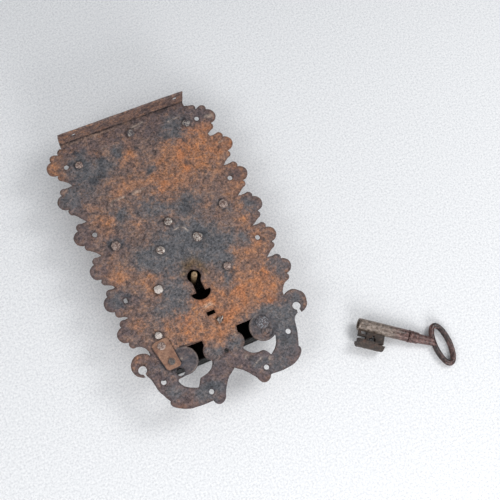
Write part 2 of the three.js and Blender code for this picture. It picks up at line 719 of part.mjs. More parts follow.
function bow() {
  const ringRod = new THREE.TorusGeometry(BOW_HALF_WIDE, BOW_ROD_R, 10, 32);
  const spots = ringRod.attributes.position;
  for (let i = 0; i < spots.count; i += 1) {
    const turn = Math.atan2(spots.getY(i), spots.getX(i));
    const outward = Math.hypot(spots.getX(i), spots.getY(i)) - BOW_HALF_WIDE;
    const across = new THREE.Vector2(BOW_HALF_WIDE * Math.cos(turn), BOW_HALF_LONG * Math.sin(turn));
    across.normalize();
    const x = BOW_HALF_LONG * Math.cos(turn) + outward * across.x;
    const y = BOW_HALF_WIDE * Math.sin(turn) + outward * across.y;
    spots.setXY(i, x, y);
  }
  ringRod.rotateZ(radians(BOW_SKEW)).translate(BOW_X, 0, 0);
  const stemStart = PIPE_LENGTH + 0.1;
  const stemEnd = BOW_X - BOW_JOINT;
  const stem = shankLathe([
    [stemStart, 0],
    [stemStart, STEM_START_R],
    [stemEnd - 12, STEM_R],
    [stemEnd, STEM_END_R],
    [stemEnd, 0],
  ]);
  return joined(ringRod, stem);
}
piece("key_bow", bow(), "key", key);

const BIT_START = 1.5;
const BIT_END = 31.5;
const BIT_HALF_T = 2.1;
const FOOT_INNER = 17.6;
const FOOT_HALF = 9.4;

// The bit's end is an anchor-shaped bar that fits the keyhole's foot.
function anchorBar() {
  const section = [
    [-FOOT_INNER - 1.6, BIT_HALF_T],
    [-FOOT_INNER, FOOT_HALF],
    [-BIT_REACH + 4.4, FOOT_HALF - 0.2],
    ...smooth([[-BIT_REACH + 0.8, 4.6], [-BIT_REACH, 0], [-BIT_REACH + 0.8, -4.6]], 4),
    [-BIT_REACH + 4.4, -FOOT_HALF + 0.2],
    [-FOOT_INNER, -FOOT_HALF],
    [-FOOT_INNER - 1.6, -BIT_HALF_T],
  ];
  return acrossX(section, BIT_START, BIT_END);
}

function keyBit() {
  const rootR = PIPE_R + 0.05;
  const web = box(BIT_START, BIT_END, -BIT_REACH + 2, -rootR + 1, -BIT_HALF_T, BIT_HALF_T);
  const wardCut = (x0, x1, inner, outer) => box(x0, x1, -outer, -inner, -12, 12);
  const shank = shankLathe([[-2, 0], [-2, rootR], [36, rootR], [36, 0]]);
  return cut(
    joined(web, anchorBar()),
    shank,
    wardCut(BIT_START - 1, BIT_START + 9, FRONT_WARD_R - 0.8, FRONT_WARD_R + WARD_T + 0.8),
    wardCut(BIT_END - 8, BIT_END + 1, SIDE_WARD_R - 0.7, SIDE_WARD_R + WARD_T + 0.7),
    wardCut(4.4, 10.8, rootR - 1, 9.9),
    wardCut(14.4, 21.6, 12.8, 15.9),
    wardCut(17.6, 20.4, 9.6, 13),
  );
}
piece("key_bit", keyBit(), "key", key);

key.rotation.set(0, radians(KEY_DROOP), radians(KEY_HEADING), "ZYX");
key.position.copy(KEY_AT);

export default lock;
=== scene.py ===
import math

import bmesh
import bpy
import numpy as np
from mathutils import Matrix, Vector, kdtree
from mathutils.geometry import delaunay_2d_cdt


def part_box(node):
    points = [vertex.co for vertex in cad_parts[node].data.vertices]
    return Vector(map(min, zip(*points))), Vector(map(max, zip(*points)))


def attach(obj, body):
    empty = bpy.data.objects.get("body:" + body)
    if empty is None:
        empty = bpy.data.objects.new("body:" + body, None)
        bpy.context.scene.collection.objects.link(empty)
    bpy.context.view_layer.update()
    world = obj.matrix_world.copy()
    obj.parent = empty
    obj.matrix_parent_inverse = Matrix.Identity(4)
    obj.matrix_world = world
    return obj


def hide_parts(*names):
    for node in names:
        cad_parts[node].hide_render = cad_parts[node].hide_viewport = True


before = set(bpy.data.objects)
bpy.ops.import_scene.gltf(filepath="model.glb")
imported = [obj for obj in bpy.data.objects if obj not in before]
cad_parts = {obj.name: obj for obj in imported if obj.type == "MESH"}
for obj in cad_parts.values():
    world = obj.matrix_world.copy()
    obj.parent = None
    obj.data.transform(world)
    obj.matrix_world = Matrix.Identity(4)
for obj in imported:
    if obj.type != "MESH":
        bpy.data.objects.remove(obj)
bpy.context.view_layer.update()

# The sheets are worked out in millimetres, in the frame's own axes, and scaled as they become meshes.
MM = 0.001
PLATE_T = 2.2
BEND_R = 1.2  # inside the flange's bend
PLATE_LOW, PLATE_HIGH = (np.array(corner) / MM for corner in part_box("lock_plate"))
PLATE_BACK = PLATE_LOW[2]
PLATE_FRONT = PLATE_BACK + PLATE_T
FLANGE_TOP = PLATE_HIGH[2]
FLANGE_INNER = PLATE_HIGH[1] - PLATE_T
BEND_START = FLANGE_INNER - BEND_R  # the height up the plate where it begins to bend forward
BEND_MID_R = BEND_R + PLATE_T / 2
BEND_END = BEND_START + BEND_MID_R * math.pi / 2
SHEET_END = BEND_END + FLANGE_TOP - PLATE_FRONT - BEND_R

FLANGE_HOLES = (-59.5, 59)  # the x of the flange's two nail holes
FLANGE_HOLE_RISE = 13  # how far they are in front of the plate
NAIL_HOLE_R = 2.7
DISC_RIGHT = (45, -78.5, 15)
DISC_LEFT = (-45, -78.5, 15)
# Spiral lines cut on the discs: (x, y, radius), inner radius, turns, start in degrees, width, direction.
VOLUTE_RIGHT = ((45, -78.5, 14.6), 5.5, 1.35, -55, 0.55)
VOLUTE_LEFT = ((-45, -78.5, 13.2), 11.4, 0.8, 100, 0.45, -1)
CURL = ((47.6, -84.8, 8), 1.4, 1.7, 70, 0.7)  # below the right disc's boss
VOLUTE_DEPTH = 0.42
KEY_MOUTH = (0.1498, -0.113, 0.0118)  # the middle of the pipe's open end, in metres


# ------------------------------------------------------------------ camera, floor and light
def make_camera():
    """The photograph's view of the lock: its place, heading and lens, with no shift."""
    eye = Vector((-0.1196, -0.1938, 0.8693))
    forward = Vector((0.2147, 0.2268, -0.9500)).normalized()
    right = forward.cross(Vector((0.3671, 0.8826, 0.2937))).normalized()
    up = right.cross(forward)
    data = bpy.data.cameras.new("camera")
    data.sensor_width = 36
    data.lens = 58.07
    data.clip_start = 0.01
    camera = bpy.data.objects.new("camera", data)
    camera.matrix_world = Matrix.Translation(eye) @ Matrix((right, up, -forward)).transposed().to_4x4()
    bpy.context.scene.collection.objects.link(camera)
    bpy.context.scene.camera = camera


def make_light(name, place, target, size, watts):
    data = bpy.data.lights.new(name, "AREA")
    data.size = size
    data.energy = watts
    light = bpy.data.objects.new(name, data)
    light.location = place
    light.rotation_euler = (Vector(target) - Vector(place)).to_track_quat("-Z", "Y").to_euler()
    bpy.context.scene.collection.objects.link(light)


def make_world(strength):
    world = bpy.data.worlds.new("studio")
    world.use_nodes = True
    world.node_tree.nodes["Background"].inputs["Color"].default_value = (0.93, 0.96, 1.0, 1)
    world.node_tree.nodes["Background"].inputs["Strength"].default_value = strength
    bpy.context.scene.world = world


# ------------------------------------------------------------------ noise, worked out on arrays of points
def lattice_value(cell, seed):
    i, j, k = (cell[:, axis].astype(np.uint64) for axis in range(3))
    mixed = i * np.uint64(374761393) + j * np.uint64(668265263) + k * np.uint64(2246822519)
    mixed = (mixed + np.uint64(seed * 3266489917)) & np.uint64(0xFFFFFFFF)
    mixed = ((mixed ^ (mixed >> np.uint64(13))) * np.uint64(1274126177)) & np.uint64(0xFFFFFFFF)
    return ((mixed ^ (mixed >> np.uint64(16))) & np.uint64(0xFFFF)).astype(float) / 32767.5 - 1


def value_noise(points, size, seed):
    """Smooth noise from -1 to 1 at an (N, 3) array of points, with bumps about size across."""
    scaled = points / size + 1000
    cell = np.floor(scaled)
    part = scaled - cell
    part = part * part * (3 - 2 * part)
    total = np.zeros(len(points))
    for corner in range(8):
        step = np.array([corner & 1, corner >> 1 & 1, corner >> 2])
        weight = np.prod(np.where(step, part, 1 - part), axis=1)
        total += weight * lattice_value(cell + step, seed)
    return total


def layered_noise(points, size, octaves, seed):
    total = np.zeros(len(points))
    for octave in range(octaves):
        total += value_noise(points, size / 2**octave, seed + octave) / 2**octave
    return total


def flat_points(xy):
    return np.column_stack([xy, np.zeros(len(xy))])


def ramp(value, low, high):
    part = np.clip((value - low) / (high - low), 0, 1)
    return part * part * (3 - 2 * part)


def dimples(points, size, seed):
    """Shallow round hammer marks: 0 on the ridges between them, and -1 at their centres."""
    cell = np.floor(points / size)
    nearest = np.full(len(points), 9.0)
    for dx in (-1, 0, 1):
        for dy in (-1, 0, 1):
            near = cell + [dx, dy, 0]
            near[:, 2] = 0
            key = near + 1000
            jitter = np.column_stack([lattice_value(key, seed), lattice_value(key, seed + 1)]) * 0.38
            centre = (near[:, :2] + 0.5 + jitter) * size
            nearest = np.minimum(nearest, np.linalg.norm(points[:, :2] - centre, axis=1) / size)
    return -np.clip(1 - (nearest / 0.75) ** 2, 0, 1)


# ------------------------------------------------------------------ outlines taken from the CAD nodes
SHARP_TURN = 45  # degrees: an outline that turns by more keeps its corner


def cad_mesh(node):
    """A node's mesh in millimetres, with its split corners joined again."""
    shape = bmesh.new()
    shape.from_mesh(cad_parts[node].data)
    bmesh.ops.scale(shape, vec=(1 / MM,) * 3, verts=shape.verts)
    bmesh.ops.remove_doubles(shape, verts=shape.verts, dist=0.002)
    return shape


def level_loops(node, height):
    """The outlines of a node's flat face at that height, each a closed array of (x, y)."""
    shape = cad_mesh(node)
    flat = {f for f in shape.faces if all(abs(v.co.z - height) < 0.01 for v in f.verts)}
    neighbours = {}
    for edge in shape.edges:
        if sum(f in flat for f in edge.link_faces) == 1:
            a, b = edge.verts
            neighbours.setdefault(a.index, []).append(b.index)
            neighbours.setdefault(b.index, []).append(a.index)
    place = {v.index: (v.co.x, v.co.y) for v in shape.verts}
    shape.free()
    loops = []
    while neighbours:
        start = min(neighbours)
        walk, last, here = [start], None, start
        while True:
            closes = len(walk) > 2
            onward = [
                n for n in neighbours[here] if n != last and (n not in walk or n == start and closes)]
            if not onward or onward[0] == start:
                break
            last, here = here, onward[0]
            walk.append(here)
        for index in walk:
            neighbours.pop(index)
        loops.append(np.array([place[i] for i in walk]))
    return sorted(loops, key=lambda loop: -abs(signed_area(loop)))


def signed_area(loop):
    x, y = loop.T
    return 0.5 * np.sum(x * np.roll(y, -1) - y * np.roll(x, -1))


def rounded_loop(loop, step):
    """The loop again at an even step: curved where it turns gently, and still sharp at its corners."""
    ahead = np.roll(loop, -1, axis=0) - loop
    behind = loop - np.roll(loop, 1, axis=0)
    turn = np.degrees(np.arctan2(
        behind[:, 0] * ahead[:, 1] - behind[:, 1] * ahead[:, 0], np.sum(ahead * behind, axis=1)))
    reach = np.linalg.norm(ahead, axis=1, keepdims=True)
    unit_ahead = ahead / reach
    unit_behind = np.roll(unit_ahead, 1, axis=0)
    bisector = unit_ahead + unit_behind
    bisector /= np.maximum(np.linalg.norm(bisector, axis=1, keepdims=True), 1e-9)
    sharp = (np.abs(turn) > SHARP_TURN)[:, None]
    leave = np.where(sharp, unit_ahead, bisector)
    arrive = np.where(sharp, unit_behind, bisector)
    points = []
    for i, start in enumerate(loop):
        j = (i + 1) % len(loop)
        count = max(1, round(reach[i, 0] / step))
        t = (np.arange(count) / count)[:, None]
        points.append(
            (2 * t**3 - 3 * t**2 + 1) * start + (t**3 - 2 * t**2 + t) * leave[i] * reach[i]
            + (3 * t**2 - 2 * t**3) * loop[j] + (t**3 - t**2) * arrive[j] * reach[i])
    return np.concatenate(points)


def inward(loop):
    """Unit vectors from each point of a loop towards its left side."""
    along = np.roll(loop, -1, axis=0) - np.roll(loop, 1, axis=0)
    along /= np.maximum(np.linalg.norm(along, axis=1, keepdims=True), 1e-9)
    return np.column_stack([-along[:, 1], along[:, 0]])


def inside(points, loops):
    """Which points lie inside an odd number of the loops."""
    odd = np.zeros(len(points), bool)
    x, y = points.T
    for loop in loops:
        low, high = loop.min(0), loop.max(0)
        near = (x > low[0]) & (x < high[0]) & (y > low[1]) & (y < high[1])
        px, py = x[near], y[near]
        crossed = np.zeros(len(px), bool)
        for (ax, ay), (bx, by) in zip(loop, np.roll(loop, -1, axis=0)):
            if ay != by:
                spans = (ay > py) != (by > py)
                crossed ^= spans & (px < (bx - ax) * (py - ay) / (by - ay) + ax)
        odd[near] ^= crossed
    return odd


def hex_grid(low, high, spacing, seed):
    """Points in staggered rows over a rectangle, each a little out of place."""
    rows = np.arange(low[1], high[1], spacing * 0.866)
    columns = np.arange(low[0], high[0], spacing)
    x, y = np.meshgrid(columns, rows)
    x[1::2] += spacing / 2
    jitter = np.random.default_rng(seed).uniform(-0.2, 0.2, (2,) + x.shape) * spacing
    return np.column_stack([(x + jitter[0]).ravel(), (y + jitter[1]).ravel()])


# ------------------------------------------------------------------ thick sheets
def link(name, mesh):
    piece = bpy.data.objects.new(name, mesh)
    bpy.context.scene.collection.objects.link(piece)
    return piece


EDGE_INSET = 0.55  # how far in from its outline a sheet's edge is rounded, in mm
EDGE_DROP = 0.55  # and how far down


def sheet_piece(name, loops, thickness, spacing, place, fine):
    """A thick sheet over the loops.

    place(xy, level) gives points in mm, for level 1, the front, to -1, the back. fine lists
    (x, y, radius, spacing) where the grid is closer.
    """
    loops = [loop if (signed_area(loop) > 0) == (i == 0) else loop[::-1] for i, loop in enumerate(loops)]
    full = thickness / 2
    rings = [
        (EDGE_INSET, full), (EDGE_INSET * 0.35, full - EDGE_DROP * 0.35), (0, full - EDGE_DROP * 1.2)]
    rings += [(inset, -height) for inset, height in reversed(rings)]
    normals = [inward(loop) for loop in loops]
    inner = [loop + EDGE_INSET * normal for loop, normal in zip(loops, normals)]
    rim = np.concatenate(inner)
    tree = kdtree.KDTree(len(rim))
    for i, (x, y) in enumerate(rim):
        tree.insert((x, y, 0), i)
    tree.balance()
    grid = hex_grid(loops[0].min(0), loops[0].max(0), spacing, 1)
    for i, (x, y, radius, closer) in enumerate(fine):
        grid = grid[np.hypot(grid[:, 0] - x, grid[:, 1] - y) > radius]
        extra = hex_grid((x - radius, y - radius), (x + radius, y + radius), closer, 2 + i)
        grid = np.concatenate([grid, extra[np.hypot(extra[:, 0] - x, extra[:, 1] - y) < radius]])
    grid = grid[inside(grid, inner)]
    apart = np.array([tree.find((x, y, 0))[2] for x, y in grid])
    grid = grid[apart > 0.35]
    flat = np.concatenate([rim, grid])
    edges, first = [], 0
    for loop in inner:
        n = len(loop)
        edges += [(first + i, first + (i + 1) % n) for i in range(n)]
        first += n
    made = delaunay_2d_cdt([Vector(p) for p in flat], edges, [], 0, 1e-7, False)
    triangles = np.array([f for f in made[2] if max(f) < len(flat)])
    triangles = triangles[inside(flat[triangles].mean(axis=1), inner)]
    if len(made[0]) != len(flat):
        print(f"SHEET {name}: {len(made[0]) - len(flat)} extra points")
    count = len(flat)
    vertices = [place(flat, 1.0), place(flat, -1.0)]
    faces = [tuple(f) for f in triangles] + [tuple(f + count) for f in triangles[:, ::-1]]
    ring_starts = [0] + [2 * count + i * len(rim) for i in range(len(rings) - 2)] + [count]
    outer, outward = np.concatenate(loops), np.concatenate(normals)
    for inset, height in rings[1:-1]:
        vertices.append(place(outer + inset * outward, height / full))
    first = 0
    for loop in loops:
        n = len(loop)
        here = np.arange(n)
        there = (here + 1) % n
        for upper, lower in zip(ring_starts, ring_starts[1:]):
            quads = np.column_stack([here + upper, here + lower, there + lower, there + upper]) + first
            faces += [tuple(q) for q in quads]
        first += n
    mesh = bpy.data.meshes.new(name)
    points = np.concatenate(vertices)
    mesh.from_pydata((points * MM).tolist(), [], [tuple(map(int, f)) for f in faces])
    mesh.update()
    mesh.shade_smooth()
    return link(name, mesh)


# ------------------------------------------------------------------ face plate
def bent(xy, height):
    """Points of the plate's sheet: flat up to the bend, then round it and up the flange."""
    x, s = xy.T
    angle = np.clip((s - BEND_START) / BEND_MID_R, 0, math.pi / 2)
    radius = BEND_MID_R - height
    y = np.minimum(s, BEND_START) + radius * np.sin(angle)
    z = PLATE_FRONT + BEND_R - radius * np.cos(angle) + np.maximum(s - BEND_END, 0)
    return np.column_stack([x, y, z]), angle


def plate_loops():
    outer, *holes = level_loops("lock_plate", PLATE_FRONT)
    outer[outer[:, 1] > BEND_START - 0.1, 1] = SHEET_END
    turns = np.radians(np.arange(0, 360, 15))
    rise = BEND_END + FLANGE_HOLE_RISE - BEND_R
    for x in FLANGE_HOLES:
        ring = np.column_stack([np.cos(turns), np.sin(turns)])
        holes.append(NAIL_HOLE_R * ring + [x, rise])
    loops = [rounded_loop(outer, 0.9)] + [rounded_loop(hole, 0.8) for hole in holes]
    for seed, loop in enumerate(loops):
        wobble = layered_noise(flat_points(loop), 7, 2, 40 + seed)
        amount = 0.28 if seed == 0 else 0.14
        loop += inward(loop) * (wobble * amount)[:, None]
    return loops


def groove(distance, width):
    return -np.exp(-((distance / width) ** 2))


def spiral_groove(xy, disc, tip, turns, start, width, clockwise=1):
    """How deep the engraved volute line on a disc is at each point, from 0 to -1."""
    x, y, radius = disc
    dx, dy = xy[:, 0] - x, xy[:, 1] - y
    angle = (np.arctan2(dy, dx) * clockwise - math.radians(start)) % (2 * math.pi)
    r = np.hypot(dx, dy)
    depth = np.zeros(len(xy))
    for lap in range(math.ceil(turns)):
        along = angle / (2 * math.pi) + lap
        line = radius - (radius - tip) * along / turns
        depth = np.minimum(depth, groove(r - line, width) * (along <= turns))
    return depth


def line_distance(xy, a, b):
    a, b = np.array(a, float), np.array(b, float)
    part = np.clip(((xy - a) @ (b - a)) / ((b - a) @ (b - a)), 0, 1)
    return np.linalg.norm(xy - a - part[:, None] * (b - a), axis=1)


def plate_relief(xy):
    """Height of the plate's front above its drawn surface, in mm."""
    points = flat_points(xy)
    x, y = xy.T
    relief = 0.16 * dimples(points, 9, 3) + 0.08
    relief += 0.10 * layered_noise(points, 14, 3, 5)
    scale = ramp(layered_noise(points, 26, 2, 11), -0.1, 0.5)
    grains = layered_noise(points, 3.2, 2, 21)
    relief += 0.09 * grains * (0.4 + scale)
    relief -= 0.22 * ramp(layered_noise(points, 4.6, 2, 31), 0.62, 1.05) * (0.4 + scale)
    relief += 0.45 * groove(y - BEND_START + 0.4, 0.9)
    for start, end in RIDGES:
        relief += 0.3 * np.exp(-((line_distance(xy, start, end) / 1.1) ** 2))
    for start, end, width in CRACK_AND_STRAP_SHADOW_LINES:
        relief += 0.55 * groove(line_distance(xy, start, end), width)
    relief += VOLUTE_DEPTH * spiral_groove(xy, *VOLUTE_RIGHT)
    relief += VOLUTE_DEPTH * spiral_groove(xy, *VOLUTE_LEFT)
    relief += 0.4 * spiral_groove(xy, *CURL)
    for cx, cy, radius in (DISC_RIGHT, DISC_LEFT):
        r = np.hypot(x - cx, y - cy) / radius
        relief += 0.5 * np.clip(1 - r**2, 0, 1)
    for cx, cy, radius in RIVET_ENDS:
        r = np.hypot(x - cx, y - cy)
        relief += 0.3 * groove(r - radius - 0.6, 0.8)
    return relief


def rivet_end(node):
    """The middle and radius of a rivet's head, from its piece's box."""
    low, high = (np.array(corner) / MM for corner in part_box(node))
    return (low[0] + high[0]) / 2, (low[1] + high[1]) / 2, (high[0] - low[0]) / 2


RIVETS = (
    "cover_post_upper_left", "cover_post_upper_right", "cover_post_lower_left", "rim_rivet_right",
    "top_wall_rivet", "tumbler_pivot", "spring_post", "guide_stud_left", "guide_stud_right",
    "bridge_rivet_left", "bridge_rivet_right", "cover_post_lower_mid", "disc_boss")
RIVET_ENDS = [rivet_end(node) for node in RIVETS]
RIDGES = [((18.6, -112), (38.6, -103.4)), ((-21, -98.6), (-40, -107)), ((-23.4, -96.4), (-41, -104.8))]
# The first line is a crack; the other three follow the repair strap's edges. All cut grooves and all carry
# painted shade.
CRACK_AND_STRAP_SHADOW_LINES = [
    ((-20, -67), (-44, -63.4), 0.4), ((-70.7, -54), (-65.2, -81), 0.6),
    ((-64.4, -83), (-52, -83), 0.6), ((-47.8, -79), (-50.6, -51), 0.35)]


def plate_warp(xy):
    """How far the old sheet has bent out of flat: little over the case, more out at the leaves' tips."""
    x, y = xy.T
    points = flat_points(xy)
    out = ramp(np.abs(x), 70, 100) + ramp(-y, 84, 125)
    gentle = 0.16 * value_noise(points, 60, 51)
    tips = 0.8 * value_noise(points, 24, 57) + 0.3 * value_noise(points, 12, 58)
    flange = ramp(y, BEND_START, SHEET_END) * 0.5 * value_noise(points, 50, 61)
    return gentle * (y < BEND_START) + np.clip(out, 0, 1) * tips + flange


def plate_place(xy, level):
    flat, angle = bent(xy, level * PLATE_T / 2)
    front = plate_relief(xy)
    points = flat_points(xy)
    back = 0.14 * dimples(points + 300, 10, 7) + 0.12 * layered_noise(points + 500, 6, 3, 71)
    mixed = front * (1 + level) / 2 - back * (1 - level) / 2
    away = (mixed + plate_warp(xy))[:, None]
    normal = np.column_stack([np.zeros(len(xy)), -np.sin(angle), np.cos(angle)])
    return flat + away * normal


# Stains on the plate, and in SHADE painted shade, each (x, y, radius) in mm.
ORANGE = [
    (72, 138, 26), (90, 129, 15), (58, 150, 16), (60, 120, 22), (34, 126, 24), (92, 88, 13),
    (-92, 168, 14), (70, -27, 26), (52, -32, 20), (10, -46, 24), (-10, -42, 24), (-38, -44, 20),
    (-46, 8, 15), (5, -30, 13), (8, 112, 22), (-15, 150, 12), (0, -60, 16), (62, -48, 14),
    (-74, 32, 11), (-74, -26, 10), (80, 38, 12), (47, -84.4, 7), (2, 13, 7), (-30, 118, 12),
    (84, 70, 10), (-62, 96, 12), (-20, -55, 12), (30, -40, 18), (82, 12, 10), (78, 150, 12),
    (92, 134, 10), (62, 12, 12), (-84, -58, 8), (-90, 46, 7), (-66, -112, 12), (-52, -122, 9),
    (-58, -98, 9),
]
SLATE = [
    (20, 46, 22), (-5, 32, 22), (30, 20, 15), (54, 23, 11), (69, 17, 8), (-22, 36, 18), (25, 80, 15),
    (-60, 146, 19), (-20, 165, 8), (-10, 88, 20), (-42, 40, 14), (-36, -22, 20), (-22, -4, 14),
    (88, -24, 13), (88, 50, 10), (45, -74, 15), (-45, -84, 14), (62, -66, 12), (88, -64, 12),
    (36, -2, 10), (-46, 90, 9), (-88, 130, 14), (54, 172, 15), (-63, 65, 9), (42, 160, 12), (-84, 8, 9),
    (3, 128, 6), (-66, 168, 13), (70, -90, 12), (20, 28, 18), (-40, 150, 12), (34, -20, 8), (60, 62, 8),
    (12, -84, 9), (-12, -84, 9), (62, -100, 14), (44, -120, 12), (-40, -118, 11), (-26, -116, 10),
    (-70, -76, 8), (26, -112, 10), (76, -78, 8), (-66, -104, 10),
]
# Painted shade, mostly along the plate's edges.
SHADE = [
    (60, 178, 24), (20, 184, 22), (-20, 184, 18), (-60, 182, 18), (-86, 120, 16), (-92, 84, 14),
    (-92, 44, 14), (-92, 4, 14), (-92, -28, 14), (-80, -66, 20), (-70, -100, 22), (-45, -122, 22),
    (-20, -118, 22), (20, -116, 20), (45, -118, 22), (70, -104, 22), (82, -70, 18), (92, 50, 12),
    (90, 92, 10), (20, 41, 12), (-63, 65, 12), (62, 64, 9), (-76, 5, 10), (84, 170, 10), (0, -98, 14),
    (-22, -100, 12), (-64, 150, 16), (-40, -108, 20), (40, -106, 18), (92, -23, 12),
]
BLOTCHES = [
    (-18.5, 163.6, 4.4), (-63.5, 178, 4.2), (34.7, 159.4, 4.6), (48, 166.4, 3.8), (52.5, 147.4, 4),
    (-1, 160, 4), (44.6, 123.1, 4.4), (2.3, 127.2, 4.2), (-27.5, 111.2, 2.6), (-58, 139, 6),
    (-48, 143, 6), (-42.6, 160.5, 4), (85.8, 126.1, 3), (85.1, 92.4, 3.6), (58.7, 105.8, 3.2),
    (-45.3, 89.7, 4.6), (-68, 66, 4.4), (-58, 60, 4), (-77.4, 0.4, 5.6), (-72.5, 7.4, 3),
    (24, -32.5, 3.4), (86, 9.6, 3.2), (23, 71, 6), (24, 82, 6), (29, 40, 6), (21, 31, 5),
    (-72.6, 168.8, 3.6), (-78.4, 85.6, 3), (50, -64, 4), (38, -70, 3), (41.5, -12, 3.4), (36, -16, 3),
    (-10, 12, 3), (0, 11.4, 3.4), (9, 9, 2.6), (-31, -66, 3), (60, -100, 6), (-30, -112, 5),
    (20, -104, 4),
]
SMUDGE = [(-3, 14, 5), (4, 16, 6), (-9, 7, 4), (11, 9, 5), (14, 1, 4)]
SCRATCHES = [
    # start, end, width
    ((-51, 106.4), (-47.5, 110.8), 0.7), ((-47.5, 110.8), (-34, 110.6), 0.8),
    ((-23.6, 110.4), (-13, 111.4), 1.5), ((3.2, 184.2), (18.4, 186), 0.9), ((2, 181.6), (12, 182), 0.6),
    ((0.5, 55.4), (8, 56.8), 0.75), ((8, 56.8), (12.3, 53.2), 0.8), ((12.4, 53), (13.8, 49), 0.8),
    ((-2, -34.8), (5.6, -34), 1.7), ((14, -73.7), (14.4, -73.9), 1.1), ((86.4, 166.4), (93, 165.6), 2),
    ((-47.8, -75.2), (-46.2, -75.5), 1.1), ((18.6, -112.2), (30, -107), 0.6),
    ((35.6, -113.4), (38.4, -109.6), 0.8), ((14.6, -101), (17.4, -99.4), 0.9),
    ((86.6, 131), (91, 132.4), 0.8), ((-36, 172.6), (-30, 173.4), 0.5), ((44, 176), (56, 177.4), 0.6),
]


def blobs(xy, places, seed, scatter=4.5):
    points = flat_points(xy)
    drift = [layered_noise(points, 11, 3, seed), layered_noise(points, 11, 3, seed + 9)]
    moved = xy + scatter * np.column_stack(drift)
    total = np.zeros(len(xy))
    for x, y, radius in places:
        total += np.exp(-((moved[:, 0] - x) ** 2 + (moved[:, 1] - y) ** 2) / radius**2)
    return np.clip(total, 0, 1.3)


def set_masks(piece, **masks):
    for name, values in masks.items():
        attribute = piece.data.attributes.new(name, "FLOAT", "POINT")
        attribute.data.foreach_set("value", np.asarray(values, np.float32))


def mesh_points(piece):
    points = np.empty(len(piece.data.vertices) * 3)
    piece.data.vertices.foreach_get("co", points)
    return points.reshape(-1, 3) / MM


def near_edge(xy, loops, reach):
    """From 1 at the loops to 0 a few millimetres away from them."""
    rim = np.concatenate(loops)
    tree = kdtree.KDTree(len(rim))
    for i, (x, y) in enumerate(rim):
        tree.insert((x, y, 0), i)
    tree.balance()
    apart = np.array([tree.find((x, y, 0))[2] for x, y in xy])
    return np.exp(-((apart / reach) ** 2))


def paint_plate(piece, loops):
    points = mesh_points(piece)
    xy = points[:, :2]
    on_flange = ramp(points[:, 2], PLATE_FRONT + 1, PLATE_FRONT + 4)
    on_back = ramp(-points[:, 2], -PLATE_FRONT + 0.6, -PLATE_FRONT + 1.6)
    keep = (1 - on_flange) * (1 - 0.6 * on_back)
    # Painted highlight: a pale line along the foot of the bend, over its left part.
    worn_y = BEND_START - 0.9
    worn = stroke(xy, (-76, worn_y), (5, worn_y), 1.1) * (1 - on_flange)
    # Painted shade: dark lines in the bend's crease, the crack, along the strap's edges, round the rivets
    # and in the curl.
    crease = stroke(xy, (-76, FLANGE_INNER), (68, FLANGE_INNER), 1.3) * (1 - ramp(
        points[:, 2], PLATE_FRONT + 1.5, PLATE_FRONT + 3))
    for start, end, width in CRACK_AND_STRAP_SHADOW_LINES:
        crease = np.maximum(crease, stroke(xy, start, end, width * 1.4))
    for x, y, radius in RIVET_ENDS[:-1]:
        crease = np.maximum(crease, rivet_shadow(xy, x, y, radius))
    crease = np.maximum(crease, -0.75 * spiral_groove(xy, *CURL))
    pale = np.zeros(len(xy))
    for start, end, width in SCRATCHES:
        pale = np.maximum(pale, stroke(xy, start, end, width))
    disc = np.zeros(len(xy))
    for x, y, radius in (DISC_RIGHT, DISC_LEFT):
        r = np.hypot(xy[:, 0] - x, xy[:, 1] - y)
        disc = np.maximum(disc, (1 if x < 0 else 0.7) * (1 - ramp(r, radius - 1.5, radius + 1.5)))
        # Painted highlight: a thin bright arc just inside each disc's rim, on the side towards the middle.
        pale = np.maximum(pale, 0.5 * np.exp(-(((r - radius + 1.1) / 0.6) ** 2)) * ramp(
            np.abs(xy[:, 0]) - abs(x), 6, -6))
    disc *= 1 - 0.85 * np.exp(-((np.hypot(xy[:, 0] - CURL[0][0], xy[:, 1] - CURL[0][1]) / 7) ** 2))
    breaks = 0.55 + 0.45 * value_noise(flat_points(xy), 1.8, 15)
    set_masks(
        piece,
        orange=blobs(xy, ORANGE, 81) * keep + 0.25 * on_flange,
        slate=blobs(xy, SLATE, 91) * keep,
        # shade: painted shade in patches and over the flange
        shade=blobs(xy, SHADE, 101) * keep + 0.45 * on_flange,
        blotch=blobs(xy, BLOTCHES, 111, 1.4) * keep,
        smudge=blobs(xy, SMUDGE, 121, 2) * keep,
        disc=disc * keep,
        rim=near_edge(xy, loops, 1.7) * keep,
        crease=crease,
        pale=pale * keep * breaks,
        worn=worn * (0.5 + 0.5 * value_noise(flat_points(xy), 9, 5)),
    )


def paint_case(piece):
    """Marks the case's outer faces, apart from its lower wall, which gets the same near-black painted shade
    as its inside.
    """
    x, y, z = mesh_points(piece).T
    low, high = (np.array(corner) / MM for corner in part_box("rear_cover"))
    side = np.maximum(ramp(x, high[0] - 1.1, high[0] - 0.5), ramp(-x, -low[0] - 1.1, -low[0] - 0.5))
    outer = np.maximum(side, ramp(y, high[1] - 1.1, high[1] - 0.5))
    outer = np.maximum(outer, ramp(-z, -low[2] - 1.1, -low[2] - 0.5))
    set_masks(piece, shell=outer * ramp(y, low[1] + 1, low[1] + 22))


def stroke(xy, start, end, width):
    return np.exp(-((line_distance(xy, start, end) / width) ** 2))


def rivet_shadow(xy, x, y, radius):
    """Painted shadow round a rivet's head, thicker on its left and upper sides."""
    dx, dy = xy[:, 0] - x, xy[:, 1] - y
    r = np.hypot(dx, dy)
    lean = np.clip(0.5 + 0.5 * (0.5 * dy - 0.86 * dx) / np.maximum(r, 0.1), 0, 1)
    return (0.35 + 0.5 * lean) * np.exp(-(((r - radius - 0.3) / (0.7 + 0.7 * lean)) ** 2))


# ------------------------------------------------------------------ pieces forged from their CAD solids
SHANK_SKIN = 0.2  # how much of a rivet's hammering its hidden shank keeps


